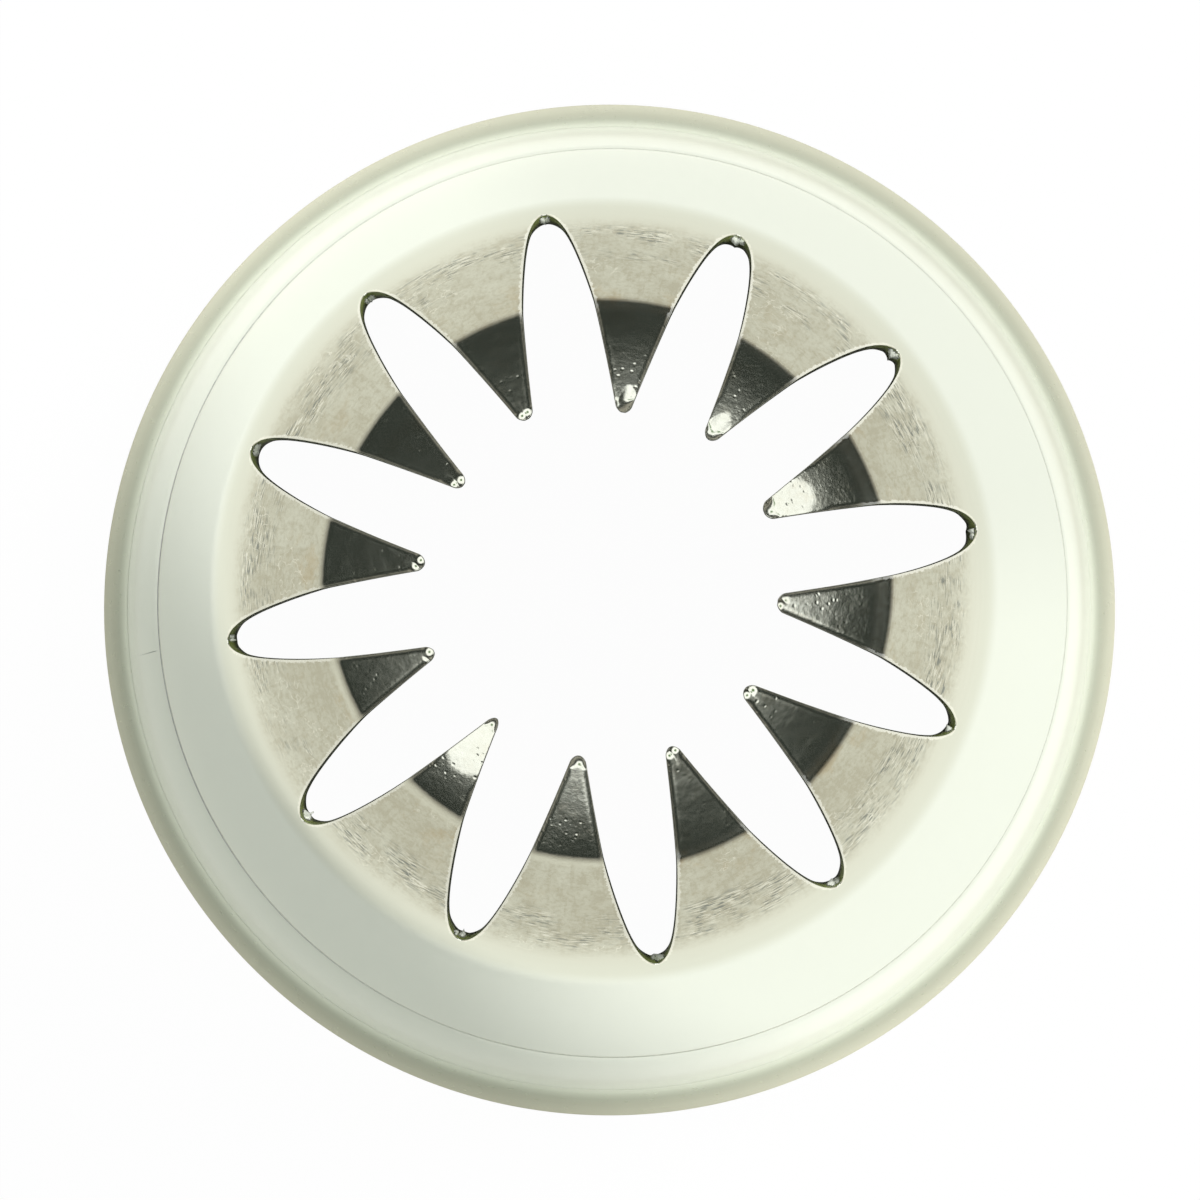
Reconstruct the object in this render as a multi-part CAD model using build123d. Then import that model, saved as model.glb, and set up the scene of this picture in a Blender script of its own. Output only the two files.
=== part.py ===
from build123d import *
import math
import os

# Twelve-point drop-flower piping nozzle in stainless sheet, as three pieces:
# a drawn cone whose slotted end is folded into teeth, a hoop collar lapped over its foot,
# and a rim ring that closes the collar's lower edge.
# Lengths are in millimetres and angles in degrees.
# The origin is the centre of the base, which stands on Z = 0, and the tip points to +Z.

# Cone, on its outer face, from the collar up to the tooth tips
cone_thickness = 0.30
shoulder_radius = 8.10
shoulder_height = 22.20
crease_radius = 5.83
crease_height = 26.00
tip_radius = 3.68
tip_height = 27.00
shoulder_bend_radius = 1.20
crease_bend_radius = 0.25

# Slots between the teeth, measured along the cut direction's own upright
slot_count = 12
first_slot_angle = 8.5
slot_width = 1.61
slot_cut_angle = 40.0
slot_side_points = 10
slot_side_power = 1.50
slot_end_power = 2.65

# Collar, on its outer face
collar_thickness = 0.30
collar_base_radius = 11.87
collar_top_radius = 10.57
collar_height = 8.00
collar_step = 0.04
seam_angle = 186.0
seam_width = 0.05
seam_open_length = 3.60

# Tail of the cone inside the collar
lap_length = 2.60
joggle_height = 0.80

# Rim ring, whose skirt runs up into the collar's outer face
rim_overhang = 0.38
rim_skirt_angle = 65.8
rim_skirt_fillet = 2.00
rim_floor = 0.24
rim_bottom_radius = 0.12
rim_lip_thickness = 0.02
rim_lip_land = 0.05

# Fits and cuts
braze_gap = 0.03
overrun = 2.0


def at(radius, height):
    """Point of a section in the XZ plane."""
    return Vector(radius, 0, height)


def collar_outer_radius(height):
    """Radius of the collar's outer face at a height."""
    share = height / collar_height
    return collar_base_radius + share * (collar_top_radius - collar_base_radius)


def collar_inner_radius(height):
    """Radius of the collar's inner face at a height, square to its slope."""
    slope = math.atan2(collar_base_radius - collar_top_radius, collar_height)
    return collar_outer_radius(height) - collar_thickness / math.cos(slope)


def offset_line(start, end, distance):
    """The line from start to end, moved to its left by distance."""
    along = (end - start).normalized()
    left = Vector(-along.Z, 0, along.X) * distance
    return start + left, end + left


def crossing(first, second):
    """Where two lines of a section cross, each given by two points."""
    (a, b), (c, d) = first, second
    u, v, w = b - a, d - c, c - a
    share = (w.X * v.Z - w.Z * v.X) / (u.X * v.Z - u.Z * v.X)
    return a + u * share


def inner_side(outer, thickness):
    """Inner side of a sheet whose outer side is a list of section points, base first."""
    lines = [offset_line(a, b, thickness) for a, b in zip(outer, outer[1:])]
    corners = [crossing(a, b) for a, b in zip(lines, lines[1:])]
    return [lines[0][0], *corners, lines[-1][1]]


def turned(*edges):
    """Solid of revolution of a closed section round the nozzle's axis."""
    return revolve(make_face(Wire.combine(list(edges))[0]), Axis.Z)


def cone_blank():
    """The cone before slotting: tail, joggle, wall, shoulder and tooth zone in one sheet."""
    ledge = collar_height + braze_gap
    tail_foot = collar_height - lap_length
    foot_radius = collar_top_radius - collar_step
    wall = [
        at(foot_radius, ledge),
        at(shoulder_radius, shoulder_height),
        at(crease_radius, crease_height),
        at(tip_radius, tip_height),
    ]
    wall_inside = inner_side(wall, cone_thickness)
    tail = [
        at(collar_inner_radius(tail_foot) - braze_gap, tail_foot),
        at(collar_inner_radius(ledge) - braze_gap, ledge),
    ]
    tail_inside = offset_line(*tail, cone_thickness)
    joggle_share = joggle_height / (shoulder_height - ledge)
    joggle_top = wall_inside[0] + (wall_inside[1] - wall_inside[0]) * joggle_share
    outside = FilletPolyline(
        *tail,
        *wall,
        radius=[0, 0, shoulder_bend_radius + cone_thickness, crease_bend_radius + cone_thickness],
    )
    inside = FilletPolyline(
        *tail_inside,
        joggle_top,
        *wall_inside[1:],
        radius=[0, 0, shoulder_bend_radius, crease_bend_radius],
    )
    tip_end = Line(wall[-1], wall_inside[-1])
    tail_end = Line(tail[0], tail_inside[0])
    return turned(*outside.edges(), tip_end, *inside.edges(), tail_end)


def slot_directions():
    """The way a slot is cut, and the outline's own upright, from its closed end to the tips."""
    angle = math.radians(slot_cut_angle)
    direction = Vector(math.cos(angle), 0, math.sin(angle))
    upright = Vector(-math.sin(angle), 0, math.cos(angle))
    return direction, upright


def slot_cutter():
    """One blunt petal-shaped cutter along +X, rising at the cut angle from the nozzle's axis."""
    direction, upright = slot_directions()
    closed_end = at(shoulder_radius, shoulder_height).dot(upright)
    length = at(tip_radius, tip_height).dot(upright) - closed_end
    right = []
    for i in range(1, slot_side_points + 1):
        share = (i / slot_side_points) ** 2
        half_width = slot_width / 2 * (1 - (1 - share) ** slot_side_power) ** (1 / slot_end_power)
        right.append(Vector(half_width, closed_end + share * length))
    left = [Vector(-p.X, p.Y) for p in reversed(right)]
    side = Spline(*left, Vector(0, closed_end), *right)
    past_tip = Polyline(
        right[-1],
        right[-1] + Vector(0, overrun),
        left[0] + Vector(0, overrun),
        left[0],
    )
    start = direction * (closed_end + length) * math.tan(math.radians(slot_cut_angle))
    plane = Plane(origin=start, x_dir=(0, 1, 0), z_dir=direction)
    outline = plane * make_face([side.edge(), *past_tip.edges()])
    return extrude(outline, shoulder_radius + overrun)


def make_cone_shell():
    """Drawn cone with twelve slots, whose lands are the folded teeth."""
    cone = cone_blank()
    cutter = slot_cutter()
    for i in range(slot_count):
        cone -= Rot(0, 0, first_slot_angle + i * 360 / slot_count) * cutter
    return cone


def make_base_collar():
    """Conical hoop with its butt seam open at the top, standing on the rim ring's floor."""
    foot = rim_floor + braze_gap
    outer = [at(collar_outer_radius(foot), foot), at(collar_top_radius, collar_height)]
    inner = [at(collar_inner_radius(collar_height), collar_height), at(collar_inner_radius(foot), foot)]
    hoop = turned(*Polyline(*outer, *inner, close=True).edges())
    slit_width = collar_thickness * 2 + overrun
    slit = Box(slit_width, seam_width, seam_open_length + overrun)
    slit_height = collar_height - seam_open_length + (seam_open_length + overrun) / 2
    return hoop - Rot(0, 0, seam_angle) * Pos(collar_top_radius, 0, slit_height) * slit


def make_rim_ring():
    """Ring with a floor under the collar's edge, and a flared skirt that runs up into the collar."""
    bore = collar_inner_radius(rim_floor + braze_gap)
    outside = collar_base_radius + rim_overhang
    skirt_angle = math.radians(rim_skirt_angle)
    sole = outside - rim_bottom_radius
    foot = at(sole + rim_bottom_radius / math.tan(skirt_angle / 2), 0)
    flank = (foot, foot + at(-math.cos(skirt_angle), math.sin(skirt_angle)))
    lip = braze_gap + rim_lip_thickness
    face = (at(collar_base_radius + lip, 0), at(collar_top_radius + lip, collar_height))
    meeting = crossing(flank, face)
    face_angle = math.atan2(collar_height, collar_base_radius - collar_top_radius)
    fillet_reach = rim_skirt_fillet * math.tan((face_angle - skirt_angle) / 2)
    lip_top = meeting + (face[1] - face[0]).normalized() * (fillet_reach + rim_lip_land)
    skirt = FilletPolyline(
        at(bore, 0),
        foot,
        meeting,
        lip_top,
        radius=[rim_bottom_radius, rim_skirt_fillet],
    )
    seat = Polyline(
        at(bore, 0),
        at(bore, rim_floor),
        at(collar_outer_radius(rim_floor) + braze_gap, rim_floor),
        at(collar_outer_radius(lip_top.Z) + braze_gap, lip_top.Z),
        lip_top,
    )
    return turned(*skirt.edges(), *seat.edges())


os.makedirs("parts", exist_ok=True)
pieces = {
    "cone_shell": make_cone_shell(),
    "base_collar": make_base_collar(),
    "rim_ring": make_rim_ring(),
}
for name, piece in pieces.items():
    export_step(piece, f"parts/{name}.step")
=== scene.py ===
import math

import bmesh
import bpy
import numpy as np
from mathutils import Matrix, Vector
from mathutils.kdtree import KDTree


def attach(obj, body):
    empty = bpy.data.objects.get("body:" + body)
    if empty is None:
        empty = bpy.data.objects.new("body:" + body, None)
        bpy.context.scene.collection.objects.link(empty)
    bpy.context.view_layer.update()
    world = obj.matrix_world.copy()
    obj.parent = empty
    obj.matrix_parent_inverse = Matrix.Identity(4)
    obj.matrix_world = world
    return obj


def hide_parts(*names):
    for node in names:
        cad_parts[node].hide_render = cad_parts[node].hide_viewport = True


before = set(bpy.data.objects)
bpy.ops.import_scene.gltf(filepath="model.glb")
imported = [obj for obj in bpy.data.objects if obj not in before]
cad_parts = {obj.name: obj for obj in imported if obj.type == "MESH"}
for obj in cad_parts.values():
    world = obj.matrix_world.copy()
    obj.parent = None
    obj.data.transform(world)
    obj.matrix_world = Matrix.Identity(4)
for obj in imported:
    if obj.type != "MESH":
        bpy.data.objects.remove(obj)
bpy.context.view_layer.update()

# The nozzle stands on its base at Z 0 and its toothed tip points up.
# Lengths here are in millimetres, like the part's own sizes, and MM turns them into metres.
# Slopes and directions are in degrees from level, and turns are in degrees round the axis.
MM = 0.001

# Photograph, in its own pixels
PHOTO_SIDE = 1200
FOCAL_PIXELS = 7635
BASE_CENTRE_PIXEL = (609.3, 609.4)
CAMERA_PLACE = (1.2, -3.7, 185.0)

# Sheet, collar and rim
SHEET = 0.30
GAP = 0.03
COLLAR_BASE_RADIUS = 11.87
COLLAR_TOP_RADIUS = 10.57
COLLAR_HEIGHT = 8.0
COLLAR_STEP = 0.016
CONE_SLIP = 0.012
COLLAR_LEAN = 0.115
LEAN_FOOT = 2.0
SEAM_TURN = 186
SEAM_WIDTH = 0.018
SEAM_CLOSED_WIDTH = 0.001
SEAM_OPEN_LENGTH = 3.6
COLLAR_NIP = 0.04
COLLAR_NIP_LENGTH = 0.75
RIM_OUTER = 12.245
RIM_EDGE = 0.10
RIM_SLOPE = 65.8
RIM_FILLET = 4.0
RIM_LIP = 0.0015
RIM_LIP_DEPTH = 0.1
RIM_SOLE_ROUND = 0.09
RIM_BORE_ROUND = 0.02
RIM_FLANK_SHARES = (0.06, 0.2, 0.4, 0.6, 0.8)
RIM_FLOOR = 0.24

# Cone
LAP_LENGTH = 2.6
JOGGLE_HEIGHT = 0.8
# Points beside the ledge over the collar: how far inward and how far up
LEDGE_ROUND = ((0.015, 0), (0.004, 0.004), (0.003, 0.015))
JOGGLE_FOOT = ((0, -0.05), (0.02, 0.1))
SHOULDER = (8.22, 22.25)
SHOULDER_SLOPE = 56.3
SHOULDER_BEND_RADIUS = 7.5
CREASE_BEND_RADIUS = 0.38

# Slots: a blunt petal outline, cut through the sheet along a slanting direction
SLOT_END = (8.17, 22.2)
SLOT_WIDTH = 1.675
SLOT_LENGTH = 6.53
SLOT_SIDE_POWER = 1.68
SLOT_END_POWER = 2.0
SLOT_SLOPE = 40
END_CUT_SLOPE = 70
SIDE_CUT_SLOPE = 82
TIP_CUT_SLOPE = 90
WALL_TAPER = 0.025
EDGE_ROUND = 0.02

# Hand-folded teeth are never quite even, so each slot and tooth has its own small errors
SLOT_END_TURNS = (9.2, 38.8, 68.9, 98.9, 128.9, 158.3, 188.0, 217.6, 247.8, 278.2, 308.5, 338.5)
SLOT_TIP_TURNS = (9.0, 39.0, 67.8, 98.7, 128.9, 159.1, 188.0, 217.0, 247.3, 278.1, 308.4, 338.8)
SLOT_END_WIDTH_SHARES = (1.13, 1.06, 1.02, 0.95, 0.96, 0.98, 0.94, 1.00, 1.02, 0.96, 1.02, 0.95)
SLOT_TIP_WIDTH_SHARES = (0.94, 0.97, 0.95, 1.03, 0.96, 0.92, 0.95, 1.01, 0.99, 0.99, 1.02, 0.97)
CREASE_RADII = (6.08, 5.95, 6.00, 5.93, 5.83, 5.85, 5.72, 5.70, 5.75, 6.00, 6.02, 6.10)
TIP_RADII = (3.70, 3.74, 3.59, 3.74, 3.50, 3.68, 3.73, 3.53, 3.59, 3.67, 3.69, 3.68)
ROOT_SLOPES = (27, 27, 27, 26, 26.5, 26, 25.5, 27, 26.5, 26.5, 27, 26.5)
TIP_SLOPES = (18.5, 21.5, 22.3, 24, 26, 25.5, 23.5, 18.5, 21.5, 23.8, 23.5, 20.5)
TOOTH_ROLLS = (1, -2, 3, -1, 2, -1, 1, 0, 4, -2, 2, -3)

# Lobes burnished on each tooth's tip: place sideways, where it starts to roll over, and radius
NOSES = (
    ((-0.05, 0.16, 0.17), (-0.05, 0.16, 0.17)),
    ((0.02, 0.20, 0.17), (0.02, 0.20, 0.17)),
    ((0.06, 0.20, 0.17), (0.06, 0.20, 0.17)),
    ((0.06, 0.17, 0.17), (-0.07, 0.20, 0.17)),
    ((0.11, 0.23, 0.17), (-0.06, 0.18, 0.19)),
    ((0.08, 0.25, 0.19), (-0.05, 0.15, 0.17)),
    ((0.05, 0.27, 0.18), (-0.03, 0.16, 0.19)),
    ((0.00, 0.18, 0.17), (0.00, 0.18, 0.17)),
    ((0.02, 0.20, 0.17), (0.02, 0.20, 0.17)),
    ((0.07, 0.17, 0.17), (-0.08, 0.24, 0.20)),
    ((0.07, 0.25, 0.24), (-0.09, 0.18, 0.17)),
    ((0.06, 0.23, 0.22), (-0.06, 0.12, 0.17)),
)
# Dents pressed on the tips: how far they reach from the tip, their slopes outward and to the right,
# and the radius of their hollow from side to side
DENTS = (
    (1.12, 14, 0, 3.0),
    (0.66, 14, 3, 0.59),
    (0.52, 12, 15, 0.30),
    None,
    None,
    None,
    None,
    (1.34, 13, 0, 4.0),
    (-0.13, 16.7, 13, 9.0),
    None,
    None,
    None,
)
DENT_END = 0.22
DENT_STEP_FALL = 0.16
DENT_FADE, DENT_LIMIT = 1.7, 2.2
NOSE_ROUND = 0.14
TOOTH_EDGE_RADIUS = 0.19
TOOTH_BEVEL = 0.13
SHOULDER_EDGE_RADIUS = 0.06
SHOULDER_BEVEL = 0.03

# Tongues that the cutter leaves on the slots' closed ends: place sideways, half width and height
TONGUES = (
    (-0.08, 0.24, 0.07),
    (0.02, 0.20, 0.12),
    (0.02, 0.26, 0.09),
    (0.00, 0.25, 0.01),
    (0.00, 0.20, 0.01),
    (0.02, 0.25, 0.02),
    (0.00, 0.15, 0.02),
    (-0.02, 0.18, 0.03),
    (0.02, 0.15, 0.03),
    (0.05, 0.20, 0.03),
    (-0.05, 0.20, 0.02),
    (-0.08, 0.15, 0.02),
)
# Beads of burr on the same ends: place sideways, half width, height, and share of the way through
BURRS = (
    ((-0.06, 0.07, 0.09, 0.30), (-0.19, 0.04, 0.05, 0.25)),
    ((0.14, 0.04, 0.04, 0.25), (0.04, 0.10, 0.10, 0.40), (-0.08, 0.05, 0.05, 0.25)),
    ((0.07, 0.09, 0.10, 0.35), (-0.05, 0.06, 0.07, 0.40), (-0.16, 0.04, 0.06, 0.25)),
    ((0.08, 0.05, 0.06, 0.40), (0.02, 0.06, 0.07, 0.50), (-0.08, 0.04, 0.06, 0.40)),
    ((0.08, 0.04, 0.06, 0.60), (-0.03, 0.05, 0.06, 0.65), (-0.11, 0.04, 0.05, 0.60)),
    ((0.08, 0.04, 0.05, 0.50), (-0.01, 0.08, 0.06, 0.45), (-0.13, 0.06, 0.07, 0.35)),
    ((-0.03, 0.05, 0.08, 0.40), (-0.12, 0.03, 0.05, 0.35)),
    ((-0.03, 0.15, 0.12, 0.45), (0.02, 0.10, 0.05, 0.60)),
    ((0.02, 0.09, 0.12, 0.50), (-0.14, 0.04, 0.05, 0.40)),
    ((0.16, 0.05, 0.07, 0.30), (0.07, 0.09, 0.10, 0.45), (-0.08, 0.05, 0.07, 0.70)),
    ((0.04, 0.07, 0.05, 0.45), (-0.13, 0.09, 0.11, 0.40)),
    ((-0.10, 0.07, 0.10, 0.40),),
)
BURR_REACH_SHARE = 0.34
BURR_BULGE = 1.2
BURR_SPREAD = 1.3

# Shares of a slot's length over which a tooth's form changes, from the slot's end to the tip
END_CUT_SHARES = (0.01, 0.14)
TIP_CUT_SHARES = (0.3, 1.0)
TAPER_SHARES = (0.5, 0.95)
BEVEL_SHARES = (0.5, 0.7)
ROLL_SHARES = (0.45, 0.9)
BEVEL_START_SHARE = 0.03
# Distances from a tooth's tip over which the groove between its lobes fades out
TWO_LOBE_GROOVE = (0.08, 0.5)
ONE_LOBE_GROOVE = (0.12, 0.28)
DENT_BEVEL_SHARE = 0.45
DENT_BEVEL_FADE = 0.35
NOSE_LEAST_SHARE = 0.03
SLOT_END_REACH = 0.7
TONGUE_POWER = 1.5
TONGUE_SHARES = (0.1, 0.8)
# Shares of a bead's cover over which its painted glint comes in
BURR_COVER_SHARES = (0.1, 0.4)
# Shares of the way through a cut over which its painted shade deepens
DEEP_SHADE_SHARES = (0.35, 0.8)

# Rows and columns of the meshes
COLUMNS_PER_TOOTH = 28
COLUMN_CROWDING = 0.75
HOOP_COLUMNS = 720
TEETH = len(TIP_RADII)
SECTION_STEP = 0.01
END_ROW_STEP = 0.015
SLOT_END_ROWS = 20
SLOT_END_WIDTH_SHARE = 0.66
SHOULDER_ROW_STEP = 0.12
CREASE_REACH = 0.2
CREASE_MARGIN = 0.05
CREASE_ROWS = 14
TOOTH_ROWS = 24
NOSE_ROWS = 36
NOSE_CROWDING = 1.2
NOSE_LENGTH = 0.60
WALL_ROWS = 40
INNER_WALL_ROWS = 38
INNER_WALL_MARGIN = 0.05
RIM_FILLET_ROWS = 12
RIM_SOLE_ROWS = 8
RIM_SOLE_TURNS = (12, -90)
COLLAR_SOFT = 0.015
COLLAR_MIDDLE = (4, 4.2)
COLLAR_ROWS = (8, 24)
SEAM_OPENING_SHARES = (0.08, 0.3)
CUT_ROW_LIMITS = (0.12, 0.88)
CUT_ROWS = 14
ROUND_TURNS = (22.5, 45, 67.5, 90)
ROUND_CUTS = (0, 0.1, 0.3, 0.5)
FOLD_SLACK_SLOPE = 15
SHARP_ANGLE = math.radians(50)


def collar_outer(z):
    return COLLAR_BASE_RADIUS + (COLLAR_TOP_RADIUS - COLLAR_BASE_RADIUS) * z / COLLAR_HEIGHT


def collar_inner(z):
    slant = math.atan2(COLLAR_BASE_RADIUS - COLLAR_TOP_RADIUS, COLLAR_HEIGHT)
    return collar_outer(z) - SHEET / math.cos(slant)


def lean(z):
    """How far the collar's top and the cone's foot sit off the axis, along X."""
    up = np.clip((z - LEAN_FOOT) / (COLLAR_HEIGHT - LEAN_FOOT), 0, 1)
    back = np.clip((SHOULDER[1] - z) / (SHOULDER[1] - COLLAR_HEIGHT), 0, 1)
    slip = np.where(z > COLLAR_HEIGHT, CONE_SLIP, 0)
    return COLLAR_LEAN * np.minimum(up, back) + slip * back


def wall_foot():
    return np.array([COLLAR_TOP_RADIUS - COLLAR_STEP, COLLAR_HEIGHT + GAP])


def wall_slope():
    foot = wall_foot()
    return math.degrees(math.atan2(SHOULDER[1] - foot[1], foot[0] - SHOULDER[0]))


def across(slope):
    """Direction square to a cut direction, and climbing, in the section's plane."""
    angle = math.radians(slope)
    return np.array([-math.sin(angle), math.cos(angle)])


def walk(start, slopes):
    """Section line that climbs inward from a start, one step at each slope."""
    angle = np.radians(slopes)
    moves = np.stack([-np.cos(angle), np.sin(angle)], axis=1) * SECTION_STEP
    return np.vstack([[start], start + np.cumsum(moves, axis=0)])


def bend(first, last, radius):
    """Slopes along an arc from one slope to another."""
    count = max(2, int(round(radius * math.radians(abs(first - last)) / SECTION_STEP)))
    return np.linspace(first, last, count)


def wall_and_bend():
    """Outer section of the wall and the shoulder's bend."""
    turn = math.radians(wall_slope() - SHOULDER_SLOPE)
    straight = math.dist(wall_foot(), SHOULDER) - SHOULDER_BEND_RADIUS * math.tan(turn / 2)
    wall = np.full(int(straight / SECTION_STEP), wall_slope())
    return walk(wall_foot(), np.concatenate([wall, bend(wall_slope(), SHOULDER_SLOPE, SHOULDER_BEND_RADIUS)]))


def tooth_line(k):
    """Outer section from the shoulder's bend over tooth k's crease to its tip."""
    start = wall_and_bend()[-1]
    turn = math.radians(SHOULDER_SLOPE - ROOT_SLOPES[k])
    tangent = CREASE_BEND_RADIUS * math.tan(turn / 2)
    run = (start[0] - CREASE_RADII[k]) / math.cos(math.radians(SHOULDER_SLOPE)) - tangent
    slopes = [np.full(int(run / SECTION_STEP), SHOULDER_SLOPE)]
    slopes.append(bend(SHOULDER_SLOPE, ROOT_SLOPES[k], CREASE_BEND_RADIUS))
    mean_slope = math.radians((ROOT_SLOPES[k] + TIP_SLOPES[k]) / 2)
    length = (CREASE_RADII[k] - TIP_RADII[k]) / math.cos(mean_slope) - tangent
    slopes.append(np.linspace(ROOT_SLOPES[k], TIP_SLOPES[k], int(length / SECTION_STEP)))
    return walk(start, np.concatenate(slopes))


def inner_of(line):
    """Inner section line of a sheet, with the loops that an offset makes at a crease left out."""
    step = np.gradient(line, axis=0)
    normal = np.stack([step[:, 1], -step[:, 0]], axis=1)
    normal /= np.linalg.norm(normal, axis=1)[:, None]
    inner = line - normal * SHEET
    climb = inner @ across(SHOULDER_SLOPE - FOLD_SLACK_SLOPE)
    keep = np.minimum.accumulate(climb[::-1])[::-1] >= climb
    return inner[keep]


def on_line(line, slope, wanted):
    """Points of a section line at wanted positions square to a slope."""
    position = line @ across(slope)
    order = np.argsort(position)
    return np.stack([np.interp(wanted, position[order], line[order, i]) for i in (0, 1)], axis=1)


def closed_end():
    return float(np.array(SLOT_END) @ across(SLOT_SLOPE))


def slot_half_width(positions, growth):
    """Half the slot's width, grown by growth, at positions along it."""
    share = np.clip((positions - closed_end() + EDGE_ROUND) / (SLOT_LENGTH + EDGE_ROUND), 0, 1)
    shape = (1 - (1 - share) ** SLOT_SIDE_POWER) ** (1 / SLOT_END_POWER)
    return (SLOT_WIDTH / 2 + growth) * shape


def row_positions(k, line):
    """Where a tooth's rows lie: close together at the slot's blunt end, the crease and the nose."""
    length = SLOT_LENGTH + EDGE_ROUND
    widths = np.arange(1, SLOT_END_ROWS + 1) / SLOT_END_ROWS * SLOT_END_WIDTH_SHARE
    start = closed_end() - EDGE_ROUND
    near_end = start + length * (1 - (1 - widths ** SLOT_END_POWER) ** (1 / SLOT_SIDE_POWER))
    creases = line[np.abs(line[:, 0] - CREASE_RADII[k]) < CREASE_REACH] @ across(SLOT_SLOPE)
    last = line[line[:, 0] > TIP_RADII[k] + EDGE_ROUND][-1] @ across(SLOT_SLOPE)
    step = SHOULDER_ROW_STEP
    to_crease = np.arange(near_end[-1] + step, creases[0] - CREASE_MARGIN, step)
    over_crease = np.linspace(creases[0], creases[-1], CREASE_ROWS)
    nose = last - np.linspace(1, 0, NOSE_ROWS) ** NOSE_CROWDING * NOSE_LENGTH
    to_nose = np.linspace(over_crease[-1], nose[0], TOOTH_ROWS)[1:-1]
    return np.concatenate([near_end, to_crease, over_crease, to_nose, nose])


def smooth_share(values, low, high):
    share = np.clip((values - low) / (high - low), 0, 1)
    return share * share * (3 - 2 * share)


class MeshBuilder:
    """Collects vertices and faces, and makes one mesh object of them."""

    def __init__(self):
        self.points, self.faces, self.cuts, self.outline = [], [], [], []

    def add(self, points, cut=0.0):
        """Adds points and gives their numbers; cut is 0 on a face, 1 deep in a cut and -1 on a bead."""
        first = len(self.points)
        self.points.extend(tuple(map(float, p)) for p in points)
        self.cuts.extend(np.broadcast_to(cut, len(self.points) - first).tolist())
        return list(range(first, len(self.points)))

    def bridge(self, low, high, closed):
        """Quads between two rows of vertex numbers of the same length."""
        count = len(low)
        for i in range(count if closed else count - 1):
            j = (i + 1) % count
            self.faces.append((low[i], low[j], high[j], high[i]))

    def build(self, name):
        mesh = bpy.data.meshes.new(name)
        mesh.from_pydata([(x * MM, y * MM, z * MM) for x, y, z in self.points], [], self.faces)
        shell = bmesh.new()
        shell.from_mesh(mesh)
        bmesh.ops.recalc_face_normals(shell, faces=shell.faces)
        for edge in shell.edges:
            edge.smooth = edge.calc_face_angle(0) < SHARP_ANGLE
        shell.to_mesh(mesh)
        shell.free()
        mesh.polygons.foreach_set("use_smooth", [True] * len(mesh.polygons))
        mesh.attributes.new("cut", "FLOAT", "POINT").data.foreach_set("value", self.cuts)
        if self.outline:
            mesh.attributes.new("edge", "FLOAT", "POINT").data.foreach_set("value", self.edge_distances())
        obj = bpy.data.objects.new(name, mesh)
        bpy.context.scene.collection.objects.link(obj)
        return obj

    def edge_distances(self):
        """Each point's distance from the star's outline."""
        tree = KDTree(len(self.outline))
        for i in self.outline:
            tree.insert(self.points[i], i)
        tree.balance()
        return [tree.find(point)[2] for point in self.points]


def around(radius, z, turns):
    """Points at one radius and height, at turns in radians; z may be one height for each."""
    turns = np.asarray(turns)
    heights = np.broadcast_to(z, turns.shape)
    return np.stack([radius * np.cos(turns) + lean(heights), radius * np.sin(turns), heights], axis=1)


def next_turn(turns, k):
    return turns[k + 1] if k + 1 < TEETH else turns[0] + 360


def column_shares():
    """Shares across a tooth of its columns, crowded together towards its edges."""
    even = np.linspace(0, 1, COLUMNS_PER_TOOTH + 1)
    return even - COLUMN_CROWDING * np.sin(2 * math.pi * even) / (2 * math.pi)


def ring_turns():
    """Turns of the full ring's columns, in radians, with one on every slot's centre."""
    spans = [(SLOT_END_TURNS[k], next_turn(SLOT_END_TURNS, k)) for k in range(TEETH)]
    return np.radians(np.concatenate([a + (b - a) * column_shares()[:-1] for a, b in spans]))


def tooth_edges(k, radii, width, share):
    """Turns of one tooth's two edges at each row, in radians, at the rows' radii."""
    edges = []
    for i, side in ((k, 1), ((k + 1) % TEETH, -1)):
        end_turn = SLOT_END_TURNS[i] + (360 if i < k else 0)
        tip_turn = SLOT_TIP_TURNS[i] + (360 if i < k else 0)
        scale = SLOT_END_WIDTH_SHARES[i] + (SLOT_TIP_WIDTH_SHARES[i] - SLOT_END_WIDTH_SHARES[i]) * share
        half = np.arcsin(np.clip(width * scale / radii, 0, 1))
        edges.append(np.radians(end_turn + (tip_turn - end_turn) * share) + side * half)
    return edges


def nose_width_share(distance):
    """Narrows a tooth to a round nose near its tip."""
    inside = np.clip(1 - distance / NOSE_ROUND, 0, 1)
    return np.sqrt(np.maximum(1 - inside ** 2, NOSE_LEAST_SHARE))


def dent_drop(k, distance, sideways):
    """How far the dent on a tooth's tip lies under its face."""
    if DENTS[k] is None:
        return 0 * sideways
    reach, outward, right, hollow = DENTS[k]
    fall = math.tan(math.radians(TIP_SLOPES[k])) - math.tan(math.radians(outward))
    drop = (reach - max(distance, DENT_END)) * fall - sideways * math.tan(math.radians(right))
    drop -= sideways ** 2 / (2 * hollow)
    near = 1 - smooth_share(distance, DENT_FADE, DENT_LIMIT)
    return np.maximum(drop, 0) * near + max(DENT_END - distance, 0) * DENT_STEP_FALL


def lobe_drop(k, distance, sideways):
    """How far a tooth's tip falls away round its burnished lobes, or round its only one."""
    groove = 1 - smooth_share(distance, *TWO_LOBE_GROOVE)
    (left, left_start, left_radius), (right, right_start, right_radius) = NOSES[k]
    inner_left, inner_right = np.maximum(left - sideways, 0), np.maximum(sideways - right, 0)
    if NOSES[k][0] == NOSES[k][1]:
        groove = 1 - smooth_share(distance, *ONE_LOBE_GROOVE)
        inner_left = inner_right = sideways - left
    left_roll, right_roll = max(left_start - distance, 0), max(right_start - distance, 0)
    from_left = (groove * inner_left ** 2 + left_roll ** 2) / (2 * left_radius)
    from_right = (groove * inner_right ** 2 + right_roll ** 2) / (2 * right_radius)
    return np.minimum(from_left, from_right)


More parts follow.
